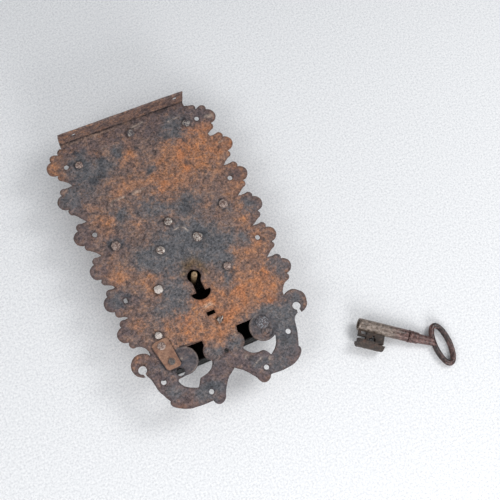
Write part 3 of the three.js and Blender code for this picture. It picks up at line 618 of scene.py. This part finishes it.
def hammer_head(points, node, facets, seed):
    """Works a rivet's head out of round and strikes flat facets into its dome, never outside its box."""
    x, y, radius = rivet_end(node)
    top = points[:, 2].max()
    head = points[:, 2] > PLATE_FRONT - 0.2
    dx, dy = points[head, 0] - x, points[head, 1] - y
    turn = np.column_stack([dx, dy]) / np.maximum(np.hypot(dx, dy), 0.01)[:, None]
    pull = 0.11 + 0.11 * value_noise(flat_points(turn * 1.2), 1, seed)
    dx, dy = dx * (1 - pull), dy * (1 - pull)
    height = points[head, 2]
    random = np.random.default_rng(seed)
    for _ in range(facets):
        angle = random.uniform(0, 2 * math.pi)
        tilt = random.uniform(0.16, 0.42)
        depth = random.uniform(0.2, 0.5)
        along = dx * math.cos(angle) + dy * math.sin(angle)
        height = np.minimum(height, top - depth - tilt * (along - 0.1 * radius))
    points[head] = np.column_stack([x + dx, y + dy, np.maximum(height, PLATE_FRONT + 0.25)])


def forged(node, voxel, smoothing, dents, grain, facets, seed):
    """A node's solid as one even mesh with rounded edges, hammer marks and a rough skin."""
    piece = link(f"{node}_iron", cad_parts[node].data.copy())
    remesh = piece.modifiers.new("even", "REMESH")
    remesh.mode = "VOXEL"
    remesh.voxel_size = voxel * MM
    smooth = piece.modifiers.new("soft", "SMOOTH")
    smooth.factor = 0.5
    smooth.iterations = smoothing
    bpy.context.view_layer.update()
    graph = bpy.context.evaluated_depsgraph_get()
    mesh = bpy.data.meshes.new_from_object(piece.evaluated_get(graph))
    piece.modifiers.clear()
    piece.data = mesh
    points = mesh_points(piece)
    normals = np.empty(len(mesh.vertices) * 3)
    mesh.vertices.foreach_get("normal", normals)
    away = dents * layered_noise(points, 10 * voxel, 2, seed + 3)
    away += grain * layered_noise(points, 1.6, 2, seed + 7)
    if facets:
        away[points[:, 2] < PLATE_BACK] *= SHANK_SKIN
    points += away[:, None] * normals.reshape(-1, 3)
    if facets:
        hammer_head(points, node, facets, seed)
    mesh.vertices.foreach_set("co", (points * MM).ravel())
    mesh.update()
    mesh.shade_smooth()
    return piece


def settle(piece, body, slot, material, *nodes):
    piece.data.materials.clear()
    piece.data.materials.append(material)
    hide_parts(*nodes)
    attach(piece, body)


# ------------------------------------------------------------------ materials
class Nodes:
    """A small builder for one material's node tree."""

    def __init__(self, name):
        self.material = bpy.data.materials.new(name)
        self.material.use_nodes = True
        self.tree = self.material.node_tree
        self.shader = self.tree.nodes["Principled BSDF"]
        self.place = self.add("ShaderNodeTexCoord").outputs["Object"]

    def add(self, kind, **settings):
        node = self.tree.nodes.new(kind)
        for name, value in settings.items():
            setattr(node, name, value)
        return node

    def feed(self, node, index, value):
        if isinstance(value, bpy.types.NodeSocket):
            self.tree.links.new(value, node.inputs[index])
        else:
            node.inputs[index].default_value = value

    def noise(self, size_mm, detail, rough=0.6, distortion=0.0, shift=0.0):
        spot = self.place
        if shift:
            moved = self.add("ShaderNodeVectorMath", operation="ADD")
            self.feed(moved, 0, self.place)
            moved.inputs[1].default_value = (shift, shift * 0.7, shift * 0.4)
            spot = moved.outputs[0]
        node = self.add("ShaderNodeTexNoise")
        self.feed(node, "Vector", spot)
        node.inputs["Scale"].default_value = 1 / (size_mm * MM)
        node.inputs["Detail"].default_value = detail
        node.inputs["Roughness"].default_value = rough
        node.inputs["Distortion"].default_value = distortion
        return node.outputs["Fac"]

    def cells(self, size_mm):
        node = self.add("ShaderNodeTexVoronoi")
        self.feed(node, "Vector", self.place)
        node.inputs["Scale"].default_value = 1 / (size_mm * MM)
        return node.outputs["Distance"]

    def math(self, operation, a, b):
        node = self.add("ShaderNodeMath", operation=operation)
        self.feed(node, 0, a)
        self.feed(node, 1, b)
        return node.outputs[0]

    def spread(self, value, low, high, to_low=0.0, to_high=1.0):
        node = self.add("ShaderNodeMapRange", interpolation_type="SMOOTHSTEP")
        self.feed(node, "Value", value)
        limits = {"From Min": low, "From Max": high, "To Min": to_low, "To Max": to_high}
        for name, number in limits.items():
            node.inputs[name].default_value = number
        return node.outputs[0]

    def mask(self, name):
        return self.add("ShaderNodeAttribute", attribute_name=name).outputs["Fac"]

    def colours(self, value, stops):
        node = self.add("ShaderNodeValToRGB")
        self.feed(node, "Fac", value)
        elements = node.color_ramp.elements
        while len(elements) < len(stops):
            elements.new(0.5)
        for element, (position, colour) in zip(elements, stops):
            element.position = position
            element.color = (*colour, 1)
        return node.outputs["Color"]

    def tones(self, value, *stops):
        """A colour ramp over stops of (position, red, green, blue), in sRGB values from 0 to 255."""
        return self.colours(value, [(position, srgb(*channels)) for position, *channels in stops])

    def mix(self, factor, a, b):
        node = self.add("ShaderNodeMix", data_type="RGBA")
        self.feed(node, 0, factor)
        self.feed(node, 6, a if isinstance(a, bpy.types.NodeSocket) else (*a, 1))
        self.feed(node, 7, b if isinstance(b, bpy.types.NodeSocket) else (*b, 1))
        return node.outputs[2]

    def bump(self, height, strength, distance_mm):
        node = self.add("ShaderNodeBump")
        node.inputs["Strength"].default_value = strength
        node.inputs["Distance"].default_value = distance_mm * MM
        self.feed(node, "Height", height)
        return node.outputs["Normal"]

    def scaled(self, colour, factor):
        node = self.add("ShaderNodeVectorMath", operation="SCALE")
        self.feed(node, 0, colour)
        self.feed(node, "Scale", factor)
        return node.outputs[0]

    def finish(self, colour, roughness, metallic, normal, gloss=0.5):
        self.feed(self.shader, "Base Color", colour)
        self.shader.inputs["Specular IOR Level"].default_value = gloss
        self.feed(self.shader, "Roughness", roughness)
        self.feed(self.shader, "Metallic", metallic)
        self.feed(self.shader, "Normal", normal)
        return self.material


def srgb(*channels):
    """A colour given as sRGB values from 0 to 255, in Blender's linear values."""
    return tuple((c / 255 / 12.92) if c < 10 else ((c / 255 + 0.055) / 1.055) ** 2.4 for c in channels)


UMBER = srgb(48, 38, 36)
BROWN = srgb(104, 82, 74)
RED_BROWN = srgb(116, 76, 60)
SLATE_GREY = srgb(88, 89, 95)
# Bare metal, pale enough to be partly a painted highlight.
BARE_HIGHLIGHT = srgb(206, 197, 188)


def plate_iron():
    """Old wrought iron: brown scale, orange rust and blue-grey patches, in grains of a millimetre or so;
    with painted shade and highlights.
    """
    n = Nodes("plate_iron")
    broad = n.noise(22, 5, 0.6, 0.5)
    mottle = n.noise(5.5, 5, 0.7, 0.4, 0.31)
    grain = n.noise(1.8, 3, 0.8, 0, 0.17)
    crumbs = n.noise(2.4, 2, 0.85, 0, 0.71)
    fine = n.noise(0.8, 3, 0.75)
    base = n.tones(
        mottle, (0.36, 94, 79, 75), (0.48, 120, 101, 95), (0.56, 134, 111, 100), (0.68, 150, 122, 106))
    rusty = n.tones(
        mottle, (0.36, 134, 99, 81), (0.48, 157, 115, 91), (0.56, 169, 121, 92), (0.68, 186, 128, 88))
    greys = n.tones(
        mottle, (0.36, 82, 84, 89), (0.48, 95, 97, 101), (0.56, 104, 103, 106), (0.68, 118, 112, 110))
    dusk = n.tones(
        mottle, (0.36, 82, 73, 76), (0.48, 98, 87, 90), (0.56, 110, 96, 95), (0.68, 126, 107, 100))
    clumps = n.math("MULTIPLY", n.math("SUBTRACT", mottle, 0.5), 1.15)
    crumble = n.math("MULTIPLY", n.math("SUBTRACT", grain, 0.5), 0.85)
    lift = n.math("ADD", clumps, crumble)
    drift = n.math("MULTIPLY", n.math("SUBTRACT", broad, 0.5), 2.2)
    rust_at = n.math("ADD", n.math("ADD", n.math("MULTIPLY", n.mask("orange"), 0.8), lift), drift)
    slate_at = n.math("SUBTRACT", n.mask("slate"), n.math("MULTIPLY", drift, 0.5))
    slate_at = n.math("SUBTRACT", slate_at, lift)
    shade_at = n.math("SUBTRACT", n.mask("shade"), n.math("MULTIPLY", lift, 0.7))
    blotch_at = n.math("SUBTRACT", n.mask("blotch"), n.math("MULTIPLY", crumble, 0.3))
    colour = n.mix(n.spread(rust_at, -0.2, 1.2, 0, 0.95), base, rusty)
    colour = n.mix(n.spread(rust_at, 0.8, 1.9, 0, 0.7), colour, srgb(190, 114, 68))
    # Painted shade in the dusk tones.
    colour = n.mix(n.spread(shade_at, -0.1, 1.3, 0, 0.85), colour, dusk)
    colour = n.mix(n.spread(slate_at, -0.1, 1.3, 0, 0.92), colour, greys)
    colour = n.mix(n.spread(blotch_at, 0.15, 1.0, 0, 0.7), colour, srgb(66, 69, 74))
    smudge = n.tones(mottle, (0.36, 64, 52, 44), (0.5, 104, 86, 68), (0.66, 136, 112, 84))
    colour = n.mix(n.math("MULTIPLY", n.mask("smudge"), 0.8), colour, smudge)
    disc = n.tones(mottle, (0.36, 66, 64, 68), (0.5, 86, 83, 88), (0.66, 110, 100, 99))
    colour = n.mix(n.math("MULTIPLY", n.mask("disc"), 0.85), colour, disc)
    pits = n.spread(n.cells(2.6), 0.1, 0.34, 1, 0)
    pits = n.math("MULTIPLY", pits, n.spread(n.noise(7, 3, 0.6, 0, 0.9), 0.46, 0.62))
    colour = n.mix(n.math("MULTIPLY", pits, 0.35), colour, UMBER)
    rim = n.math("MULTIPLY", n.mask("rim"), n.spread(mottle, 0.4, 0.6, 0.2, 0.75))
    colour = n.mix(rim, colour, srgb(66, 54, 54))
    # Pale scratches, and the painted highlight on the discs' rims.
    colour = n.mix(n.math("MULTIPLY", n.mask("pale"), 0.75), colour, srgb(202, 184, 168))
    # Painted highlight along the foot of the bend.
    colour = n.mix(n.math("MULTIPLY", n.mask("worn"), 0.6), colour, srgb(176, 150, 132))
    calm = n.math("MULTIPLY", n.math("SUBTRACT", crumbs, 0.5), n.spread(n.mask("disc"), 0, 1, 2.9, 1.5))
    colour = n.scaled(colour, n.math("ADD", calm, 1.0))
    # Painted shade: near black in the crease, the crack, by the strap, round the rivets and in the curl.
    painted_shade = n.math("MULTIPLY", n.mask("crease"), n.spread(mottle, 0.38, 0.6, 0.95, 0.6))
    colour = n.mix(painted_shade, colour, srgb(24, 18, 18))
    height = n.math("ADD", n.math("MULTIPLY", crumbs, 0.6), n.math("MULTIPLY", fine, 0.4))
    height = n.math("SUBTRACT", height, n.math("MULTIPLY", pits, 0.8))
    rough = n.spread(slate_at, 0.2, 1.2, 0.74, 0.5)
    return n.finish(colour, rough, 0.0, n.bump(height, 0.9, 0.6), 0.2)


def forged_iron(name, low, middle, high, size_mm=5.0, rough=(0.5, 0.75), metallic=0.25, bloom=0.5):
    """Plain forged iron in three tones, with grains, pits and a brown bloom."""
    n = Nodes(name)
    mottle = n.noise(size_mm, 5, 0.68, 0.3)
    grain = n.noise(1.2, 4, 0.7)
    speckle = n.math("ADD", n.math("MULTIPLY", mottle, 0.6), n.math("MULTIPLY", grain, 0.4))
    colour = n.colours(speckle, [(0.34, low), (0.5, middle), (0.64, high)])
    rust = n.spread(n.noise(size_mm * 2.2, 4, 0.6, 0, 0.5), 0.5, 0.66, 0, bloom)
    colour = n.mix(rust, colour, RED_BROWN)
    pits = n.spread(n.cells(1.8), 0.08, 0.3, 1, 0)
    pits = n.math("MULTIPLY", pits, n.spread(n.noise(5, 3, 0.6, 0, 0.8), 0.5, 0.64))
    colour = n.mix(n.math("MULTIPLY", pits, 0.5), colour, UMBER)
    height = n.math("SUBTRACT", grain, n.math("MULTIPLY", pits, 0.8))
    roughness = n.spread(mottle, 0.35, 0.65, *rough)
    return n.finish(colour, roughness, metallic, n.bump(height, 0.6, 0.35))


def case_iron():
    """Forged iron outside, where the shell mask is 1, and near-black painted shade elsewhere: inside the
    case and on its lower wall.
    """
    n = Nodes("case_iron")
    mottle = n.noise(7, 5, 0.68, 0.3)
    grain = n.noise(1.4, 4, 0.7)
    speckle = n.math("ADD", n.math("MULTIPLY", mottle, 0.6), n.math("MULTIPLY", grain, 0.4))
    # Painted shade: near black for the case's inside and its lower wall.
    painted_black_shade = n.tones(speckle, (0.34, 8, 8, 8), (0.5, 14, 13, 12), (0.64, 22, 20, 18))
    iron = n.tones(speckle, (0.36, 48, 42, 41), (0.5, 78, 69, 65), (0.64, 116, 102, 94))
    rust = n.spread(n.noise(17, 4, 0.6, 0, 0.5), 0.46, 0.64, 0, 0.7)
    iron = n.mix(rust, iron, n.tones(speckle, (0.38, 84, 54, 42), (0.62, 152, 100, 70)))
    pits = n.spread(n.cells(2.4), 0.08, 0.3, 1, 0)
    pits = n.math("MULTIPLY", pits, n.spread(n.noise(6, 3, 0.6, 0, 0.8), 0.5, 0.64))
    iron = n.mix(n.math("MULTIPLY", pits, 0.6), iron, UMBER)
    height = n.math("SUBTRACT", grain, n.math("MULTIPLY", pits, 0.8))
    colour = n.mix(n.mask("shell"), painted_black_shade, iron)
    return n.finish(colour, n.spread(mottle, 0.35, 0.65, 0.5, 0.75), 0.0, n.bump(height, 0.6, 0.4), 0.15)


def rubbed_highlit_iron(name, bare_highlight_from, bare_highlight_to, under=BROWN, bright=BARE_HIGHLIGHT, size_mm=2.2):
    """Rivet ends rubbed bright: bare metal in patches over brown scale, pale enough to be a painted
    highlight as well.
    """
    n = Nodes(name)
    patches = n.noise(size_mm, 4, 0.65, 0.6)
    grain = n.noise(0.8, 3, 0.7)
    scale = n.colours(grain, [(0.35, UMBER), (0.52, under), (0.68, RED_BROWN)])
    metal = n.colours(grain, [(0.34, srgb(120, 108, 102)), (0.56, bright)])
    # The bare patches are both rubbed wear and painted highlight.
    bare_highlight = n.spread(patches, bare_highlight_from, bare_highlight_to)
    colour = n.mix(bare_highlight, scale, metal)
    rough = n.spread(bare_highlight, 0, 1, 0.66, 0.34)
    shine = n.spread(bare_highlight, 0, 1, 0.0, 0.35)
    return n.finish(colour, rough, shine, n.bump(n.math("ADD", grain, patches), 0.5, 0.4))


def key_iron(mouth):
    """The key's iron, by the distance from its mouth: tan, then red-brown, and dark where the bow starts."""
    n = Nodes("key_iron")
    mottle = n.noise(3.2, 5, 0.7, 0.4)
    grain = n.noise(1.1, 3, 0.75)
    span = n.add("ShaderNodeVectorMath", operation="DISTANCE")
    n.feed(span, 0, n.place)
    span.inputs[1].default_value = mouth
    wander = n.math("MULTIPLY", n.math("SUBTRACT", n.noise(8, 3), 0.5), 40 * MM)
    along = n.math("ADD", span.outputs["Value"], wander)
    tan = n.tones(mottle, (0.36, 66, 56, 50), (0.5, 112, 98, 88), (0.66, 168, 154, 144))
    red = n.tones(mottle, (0.36, 42, 28, 27), (0.52, 88, 60, 56), (0.68, 156, 124, 118))
    dark = n.tones(mottle, (0.36, 20, 15, 15), (0.52, 46, 35, 34), (0.68, 112, 90, 86))
    colour = n.mix(n.spread(along, 26 * MM, 60 * MM), tan, red)
    colour = n.mix(n.spread(along, 86 * MM, 92 * MM), colour, dark)
    colour = n.mix(n.spread(along, 99 * MM, 112 * MM, 0, 0.7), colour, red)
    height = n.math("ADD", n.math("MULTIPLY", mottle, 0.6), n.math("MULTIPLY", grain, 0.4))
    return n.finish(colour, n.spread(mottle, 0.35, 0.65, 0.26, 0.5), 0.15, n.bump(height, 0.7, 0.5))


def floor_paper():
    n = Nodes("floor_paper")
    grain = n.noise(2.2, 2, 0.85)
    colour = n.colours(
        grain, [(0.34, (0.70, 0.71, 0.73)), (0.5, (0.86, 0.87, 0.885)), (0.66, (0.98, 0.98, 0.985))])
    return n.finish(colour, 0.9, 0.0, n.bump(grain, 0.2, 0.4))


# ------------------------------------------------------------------ building
make_camera()
make_world(0.38)
make_light("right_light", (0.85, -0.05, 0.90), (0.05, 0, 0.03), 0.45, 5.0)
make_light("front_light", (0.05, -0.95, 0.50), (0.02, 0, 0.03), 0.5, 5.2)
make_light("left_light", (-0.75, -0.20, 0.85), (0.05, 0, 0.03), 0.5, 3.6)
bpy.context.scene.view_settings.view_transform = "Standard"

floor_mesh = bpy.data.meshes.new("floor")
floor_mesh.from_pydata([(-4, -4, 0), (4, -4, 0), (4, 4, 0), (-4, 4, 0)], [], [(0, 1, 2, 3)])
floor_mesh.materials.append(floor_paper())
floor = link("floor", floor_mesh)
floor.location.z = -0.0002

PLATE_IRON = plate_iron()
CASE_IRON = case_iron()
DARK_IRON = forged_iron("dark_iron", srgb(24, 22, 23), srgb(42, 37, 35), srgb(70, 60, 54))
STRAP_IRON = forged_iron(
    "strap_iron", srgb(104, 76, 62), srgb(146, 110, 90), srgb(172, 134, 110), 4.5, (0.6, 0.8), 0.0)
STRAP_RIVET = forged_iron("strap_rivet", srgb(52, 48, 48), srgb(96, 90, 88), srgb(150, 142, 136), 2.5)
KEY_IRON = key_iron(KEY_MOUTH)
KEY_DARK_IRON = forged_iron(
    "key_dark_iron", srgb(26, 22, 21), srgb(56, 47, 43), srgb(108, 94, 84), 2.5, bloom=0.25)
PIN_IRON = forged_iron(
    "pin_iron", srgb(92, 74, 54), srgb(150, 124, 92), srgb(196, 172, 138), 3, (0.4, 0.6), 0.3)
RIVET_BRIGHT = rubbed_highlit_iron("rivet_bright", 0.30, 0.46, BROWN, srgb(232, 222, 214))
RIVET_MIXED = rubbed_highlit_iron("rivet_mixed", 0.42, 0.56)
RIVET_BROWN = rubbed_highlit_iron("rivet_brown", 0.40, 0.60, BROWN, srgb(196, 174, 164))
RIVET_SPECKS = rubbed_highlit_iron("rivet_specks", 0.5, 0.56, SLATE_GREY, BARE_HIGHLIGHT, 2.8)
BOSS_IRON = rubbed_highlit_iron("boss_iron", 0.49, 0.66, SLATE_GREY, srgb(188, 194, 202), 2.4)

outlines = plate_loops()
plate = sheet_piece(
    "lock_plate_iron", outlines, PLATE_T, 1.35, plate_place,
    fine=[(x, y, radius + 0.5, 0.55) for x, y, radius in (DISC_RIGHT, DISC_LEFT)])
paint_plate(plate, outlines)
settle(plate, "lock", "plate_iron", PLATE_IRON, "lock_plate")

FORGED = [
    # node, voxel mm, smoothing, dents, grain, body, slot, material
    ("repair_strap", 0.4, 4, 0.10, 0.05, "lock", "plate_iron", STRAP_IRON),
    ("strap_rivet_1", 0.3, 4, 0.20, 0.06, "lock", "dark_iron", RIVET_BROWN),
    ("strap_rivet_2", 0.3, 4, 0.20, 0.06, "lock", "dark_iron", STRAP_RIVET),
    ("disc_boss", 0.35, 8, 0.08, 0.04, "lock", "worn_iron", BOSS_IRON),
    ("cover_post_upper_left", 0.4, 4, 0.28, 0.08, "lock", "worn_iron", RIVET_BROWN),
    ("cover_post_upper_right", 0.4, 4, 0.28, 0.08, "lock", "worn_iron", RIVET_SPECKS),
    ("cover_post_lower_left", 0.4, 4, 0.28, 0.08, "lock", "worn_iron", RIVET_BRIGHT),
    ("cover_post_lower_mid", 0.4, 3, 0.18, 0.08, "lock", "worn_iron", RIVET_MIXED),
    ("rim_rivet_right", 0.3, 4, 0.28, 0.08, "lock", "worn_iron", RIVET_BROWN),
    ("top_wall_rivet", 0.3, 4, 0.28, 0.08, "lock", "worn_iron", RIVET_SPECKS),
    ("tumbler_pivot", 0.3, 4, 0.28, 0.08, "lock", "worn_iron", RIVET_BROWN),
    ("spring_post", 0.3, 4, 0.28, 0.08, "lock", "worn_iron", RIVET_MIXED),
    ("guide_stud_left", 0.3, 4, 0.32, 0.08, "lock", "worn_iron", RIVET_MIXED),
    ("guide_stud_right", 0.3, 4, 0.32, 0.08, "lock", "worn_iron", RIVET_MIXED),
    ("bridge_rivet_left", 0.3, 4, 0.32, 0.08, "lock", "worn_iron", RIVET_BRIGHT),
    ("bridge_rivet_right", 0.3, 4, 0.28, 0.08, "lock", "worn_iron", RIVET_BROWN),
    ("case_rim", 0.85, 2, 0.10, 0.05, "lock", "dark_iron", CASE_IRON),
    ("case_top_wall", 0.7, 2, 0.10, 0.05, "lock", "dark_iron", CASE_IRON),
    ("rear_cover", 0.92, 2, 0.12, 0.05, "lock", "dark_iron", CASE_IRON),
    ("cover_screw_1", 0.3, 2, 0.04, 0.03, "lock", "worn_iron", RIVET_MIXED),
    ("cover_screw_2", 0.3, 2, 0.04, 0.03, "lock", "worn_iron", RIVET_MIXED),
    ("cover_screw_3", 0.3, 2, 0.04, 0.03, "lock", "worn_iron", RIVET_MIXED),
    ("cover_screw_4", 0.3, 2, 0.04, 0.03, "lock", "worn_iron", RIVET_MIXED),
    ("drill_pin", 0.4, 4, 0.08, 0.04, "lock", "pin_iron", PIN_IRON),
    ("ward_bridge", 0.6, 2, 0.06, 0.04, "lock", "dark_iron", DARK_IRON),
    ("ward_left", 0.4, 2, 0.04, 0.03, "lock", "dark_iron", DARK_IRON),
    ("ward_right", 0.4, 2, 0.04, 0.03, "lock", "dark_iron", DARK_IRON),
    ("ward_front", 0.4, 2, 0.04, 0.03, "lock", "dark_iron", DARK_IRON),
    ("tumbler_spring", 0.4, 2, 0.04, 0.03, "lock", "worn_iron", RIVET_MIXED),
    ("bolt_bar", 0.6, 3, 0.03, 0.02, "bolt", "dark_iron", DARK_IRON),
    ("bolt_arm_left", 0.6, 3, 0.08, 0.04, "bolt", "dark_iron", DARK_IRON),
    ("bolt_arm_right", 0.6, 3, 0.08, 0.04, "bolt", "dark_iron", DARK_IRON),
    ("arm_rivet_left_1", 0.3, 2, 0.06, 0.03, "bolt", "worn_iron", RIVET_MIXED),
    ("arm_rivet_left_2", 0.3, 2, 0.06, 0.03, "bolt", "worn_iron", RIVET_MIXED),
    ("arm_rivet_right_1", 0.3, 2, 0.06, 0.03, "bolt", "worn_iron", RIVET_MIXED),
    ("arm_rivet_right_2", 0.3, 2, 0.06, 0.03, "bolt", "worn_iron", RIVET_MIXED),
    ("tumbler", 0.5, 3, 0.06, 0.04, "tumbler", "dark_iron", DARK_IRON),
    ("key_pipe", 0.4, 6, 0.08, 0.04, "key", "key_iron", KEY_IRON),
    ("key_collar", 0.3, 4, 0.10, 0.05, "key", "key_iron", KEY_IRON),
    ("key_bow", 0.4, 8, 0.14, 0.05, "key", "key_iron", KEY_IRON),
    ("key_bit", 0.32, 3, 0.12, 0.05, "key", "key_iron", KEY_DARK_IRON),
]
for seed, (node, voxel, smoothing, dents, grain, body, slot, material) in enumerate(FORGED):
    facets = 5 if node in RIVETS[:-1] else 0
    piece = forged(node, voxel, smoothing, dents, grain, facets, seed * 13)
    if material == CASE_IRON:
        paint_case(piece)
    settle(piece, body, slot, material, node)
